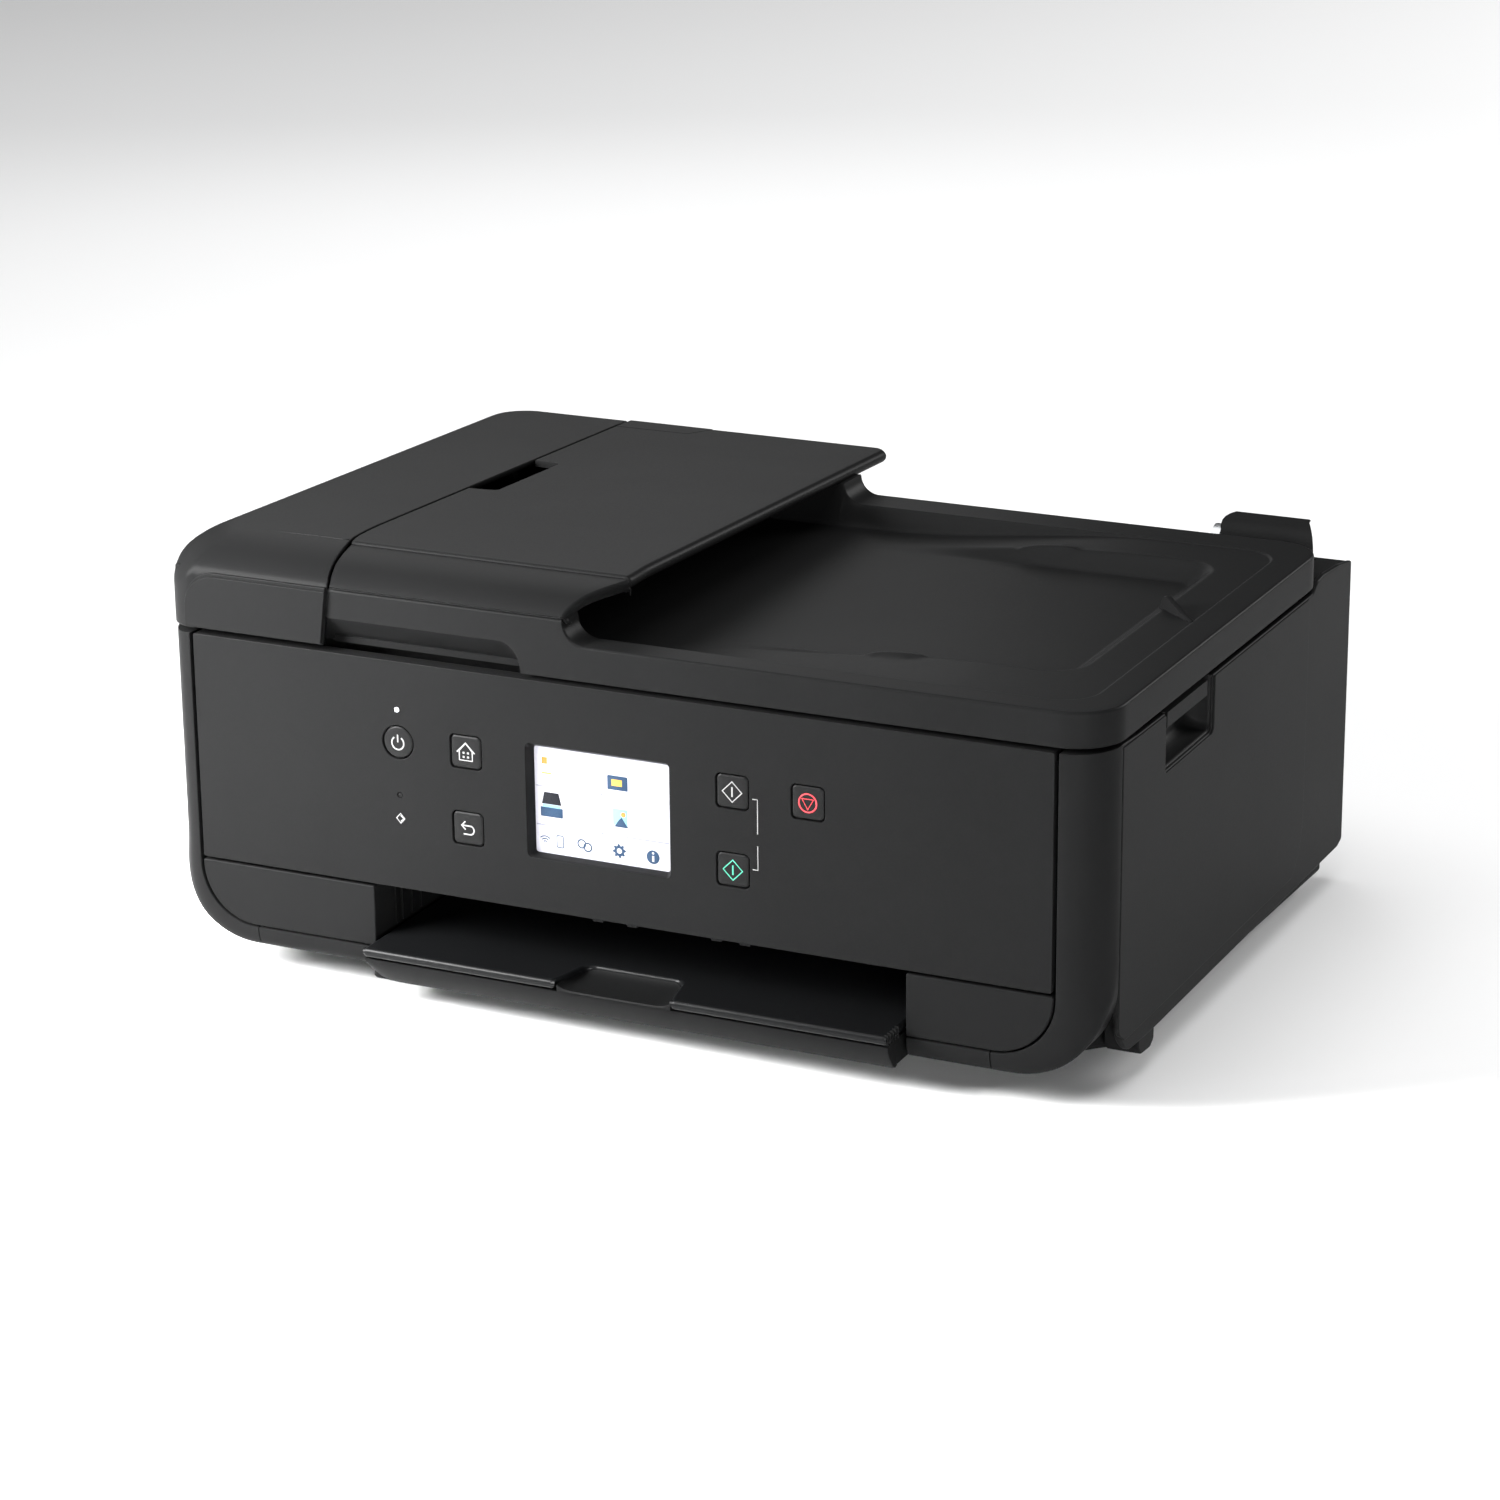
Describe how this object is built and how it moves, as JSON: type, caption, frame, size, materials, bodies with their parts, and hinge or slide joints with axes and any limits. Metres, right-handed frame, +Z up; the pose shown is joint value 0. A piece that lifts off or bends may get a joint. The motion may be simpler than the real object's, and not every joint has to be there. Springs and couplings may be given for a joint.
{
  "type": "inkjet printer",
  "caption": "Black desktop inkjet printer, copier, scanner and fax with a left-hand document feeder, a tilting front panel with colour screen, and a front paper tray.",
  "frame": {"origin": "middle of the footprint at the level of the table", "axes": "+X to the right as seen from the front, +Y to the back, +Z up"},
  "size_m": [0.4388, 0.324, 0.1908],
  "materials": {
    "shell_black": "fine grained matte black",
    "dark_inner": "moulded matte black",
    "gloss_black": "glossy black",
    "screen": "lit colour display behind clear cover",
    "lens": "white light pipe",
    "rubber": "soft black rubber",
    "steel": "plain sheet steel",
    "rod_steel": "ground steel rod",
    "motor_steel": "zinc plated can",
    "foam": "dense felt pad",
    "pad_white": "white sheet on foam",
    "board_green": "green circuit board",
    "grey_plastic": "dark grey plastic",
    "pulley_plastic": "white acetal",
    "glass": "clear float glass",
    "ink_cyan": "tank with cyan mark",
    "ink_magenta": "tank with magenta mark",
    "ink_yellow": "tank with yellow mark",
    "button_black": "smooth matte black key"
  },
  "bodies": {
    "base": {"bottom_case": "dark_inner", "front_frame": "shell_black", "side_panel_right": "shell_black", "side_panel_left": "shell_black", "rear_cover": "dark_inner", "lower_cover_left": "shell_black", "lower_cover_right": "shell_black", "rubber_feet": "rubber", "chassis": "steel", "carriage_rail": "steel", "platen": "dark_inner", "ink_absorber": "foam", "purge_unit": "grey_plastic", "power_supply": "dark_inner", "main_board": "board_green", "ac_inlet": "dark_inner", "rear_jacks": "motor_steel", "carriage_motor": "motor_steel", "feed_motor": "motor_steel", "carriage_belt": "rubber", "hinge_posts": "steel"},
    "feed_roller": {"feed_roller": "rod_steel"},
    "exit_roller": {"exit_roller": "grey_plastic"},
    "pickup_roller": {"pickup_roller": "rubber"},
    "drive_pulley": {"drive_pulley": "pulley_plastic"},
    "idler_pulley": {"idler_pulley": "pulley_plastic"},
    "carriage": {"print_carriage": "dark_inner", "print_head": "grey_plastic", "tank_large_black": "dark_inner", "tank_black": "dark_inner", "tank_cyan": "ink_cyan", "tank_magenta": "ink_magenta", "tank_yellow": "ink_yellow"},
    "panel": {"control_panel": "shell_black", "touch_screen": "screen", "status_lens": "lens"},
    "power_button": {"power_button": "button_black"},
    "home_button": {"home_button": "button_black"},
    "back_button": {"back_button": "button_black"},
    "black_start_button": {"black_start_button": "button_black"},
    "colour_start_button": {"colour_start_button": "button_black"},
    "stop_button": {"stop_button": "button_black"},
    "scanner": {"scanner_base": "dark_inner", "scanner_frame": "dark_inner", "platen_glass": "glass", "scan_rod": "rod_steel", "hinge_brackets": "steel"},
    "scan_carriage": {"scan_carriage": "grey_plastic"},
    "cover": {"document_cover": "shell_black", "platen_pad": "pad_white", "hinge_cap": "shell_black", "feeder_housing": "dark_inner"},
    "feeder_cover": {"feeder_cover": "shell_black"},
    "document_tray": {"document_tray": "shell_black"},
    "feeder_roller": {"feeder_roller": "rubber"},
    "feeder_exit_roller": {"feeder_exit_roller": "rubber"},
    "output_tray": {"output_tray": "gloss_black"},
    "cassette": {"paper_cassette": "dark_inner"},
    "guide_left": {"paper_guide_left": "grey_plastic"},
    "guide_right": {"paper_guide_right": "grey_plastic"}
  },
  "joints": [
    {"name": "scanner_unit_hinge", "type": "hinge", "parent": "base", "child": "scanner", "pos_m": [0, 0.146, 0.159], "axis": [-1, 0, 0], "range_deg": [0, 30]},
    {"name": "document_cover_hinge", "type": "hinge", "parent": "scanner", "child": "cover", "pos_m": [0, 0.146, 0.159], "axis": [-1, 0, 0], "range_deg": [0, 60]},
    {"name": "feeder_cover_hinge", "type": "hinge", "parent": "cover", "child": "feeder_cover", "pos_m": [-0.2174, 0.003, 0.1576], "axis": [0, -1, 0], "range_deg": [0, 60]},
    {"name": "document_tray_hinge", "type": "hinge", "parent": "cover", "child": "document_tray", "pos_m": [-0.136, -0.08715, 0.1856], "axis": [0, -0.9994, 0.0349], "range_deg": [0, 30]},
    {"name": "operation_panel_tilt", "type": "hinge", "parent": "base", "child": "panel", "pos_m": [0, -0.143, 0.1475], "axis": [-1, 0, 0], "range_deg": [0, 30]},
    {"name": "output_tray_slide", "type": "slide", "parent": "base", "child": "output_tray", "axis": [0, -1, 0], "range_m": [0, 0.13]},
    {"name": "cassette_slide", "type": "slide", "parent": "base", "child": "cassette", "axis": [0, -1, 0], "range_m": [0, 0.2]},
    {"name": "paper_guide_right_slide", "type": "slide", "parent": "cassette", "child": "guide_right", "axis": [-1, 0, 0], "range_m": [0, 0.05]},
    {"name": "paper_guide_left_slide", "type": "slide", "parent": "cassette", "child": "guide_left", "axis": [1, 0, 0], "range_m": [0, 0.05]},
    {"name": "print_carriage_slide", "type": "slide", "parent": "base", "child": "carriage", "axis": [-1, 0, 0], "range_m": [0, 0.25]},
    {"name": "drive_pulley_spin", "type": "hinge", "parent": "base", "child": "drive_pulley", "pos_m": [-0.17, 0.0375, 0.09], "axis": [0, 1, 0], "range_deg": [-1629, 0]},
    {"name": "idler_pulley_spin", "type": "hinge", "parent": "base", "child": "idler_pulley", "pos_m": [0.17, 0.0375, 0.09], "axis": [0, 1, 0], "range_deg": [-1629, 0]},
    {"name": "scan_carriage_slide", "type": "slide", "parent": "scanner", "child": "scan_carriage", "axis": [1, 0, 0], "range_m": [0, 0.34]},
    {"name": "feed_roller_spin", "type": "hinge", "parent": "base", "child": "feed_roller", "pos_m": [0, 0.028, 0.056], "axis": [1, 0, 0], "continuous": true},
    {"name": "exit_roller_spin", "type": "hinge", "parent": "base", "child": "exit_roller", "pos_m": [0, -0.052, 0.052], "axis": [1, 0, 0], "continuous": true},
    {"name": "pickup_roller_spin", "type": "hinge", "parent": "base", "child": "pickup_roller", "pos_m": [0, 0.088, 0.038], "axis": [1, 0, 0], "continuous": true},
    {"name": "feeder_roller_spin", "type": "hinge", "parent": "cover", "child": "feeder_roller", "pos_m": [-0.162, -0.017, 0.1768], "axis": [0, 1, 0], "continuous": true},
    {"name": "feeder_exit_roller_spin", "type": "hinge", "parent": "cover", "child": "feeder_exit_roller", "pos_m": [-0.188, -0.017, 0.1762], "axis": [0, 1, 0], "continuous": true},
    {"name": "power_button_press", "type": "slide", "parent": "panel", "child": "power_button", "axis": [0, 1, 0], "range_m": [0, 0.0008], "stiffness_N_per_m": 600},
    {"name": "home_button_press", "type": "slide", "parent": "panel", "child": "home_button", "axis": [0, 1, 0], "range_m": [0, 0.0008], "stiffness_N_per_m": 600},
    {"name": "back_button_press", "type": "slide", "parent": "panel", "child": "back_button", "axis": [0, 1, 0], "range_m": [0, 0.0008], "stiffness_N_per_m": 600},
    {"name": "black_start_button_press", "type": "slide", "parent": "panel", "child": "black_start_button", "axis": [0, 1, 0], "range_m": [0, 0.0008], "stiffness_N_per_m": 600},
    {"name": "colour_start_button_press", "type": "slide", "parent": "panel", "child": "colour_start_button", "axis": [0, 1, 0], "range_m": [0, 0.0008], "stiffness_N_per_m": 600},
    {"name": "stop_button_press", "type": "slide", "parent": "panel", "child": "stop_button", "axis": [0, 1, 0], "range_m": [0, 0.0008], "stiffness_N_per_m": 600}
  ],
  "couplings": [
    {"joint": "drive_pulley_spin", "follows": "print_carriage_slide", "rad_per_m": -113.64},
    {"joint": "idler_pulley_spin", "follows": "print_carriage_slide", "rad_per_m": -113.64},
    {"joint": "exit_roller_spin", "follows": "feed_roller_spin", "ratio": 1.4},
    {"joint": "paper_guide_left_slide", "follows": "paper_guide_right_slide", "ratio": 1},
    {"joint": "feeder_exit_roller_spin", "follows": "feeder_roller_spin", "ratio": 1}
  ]
}
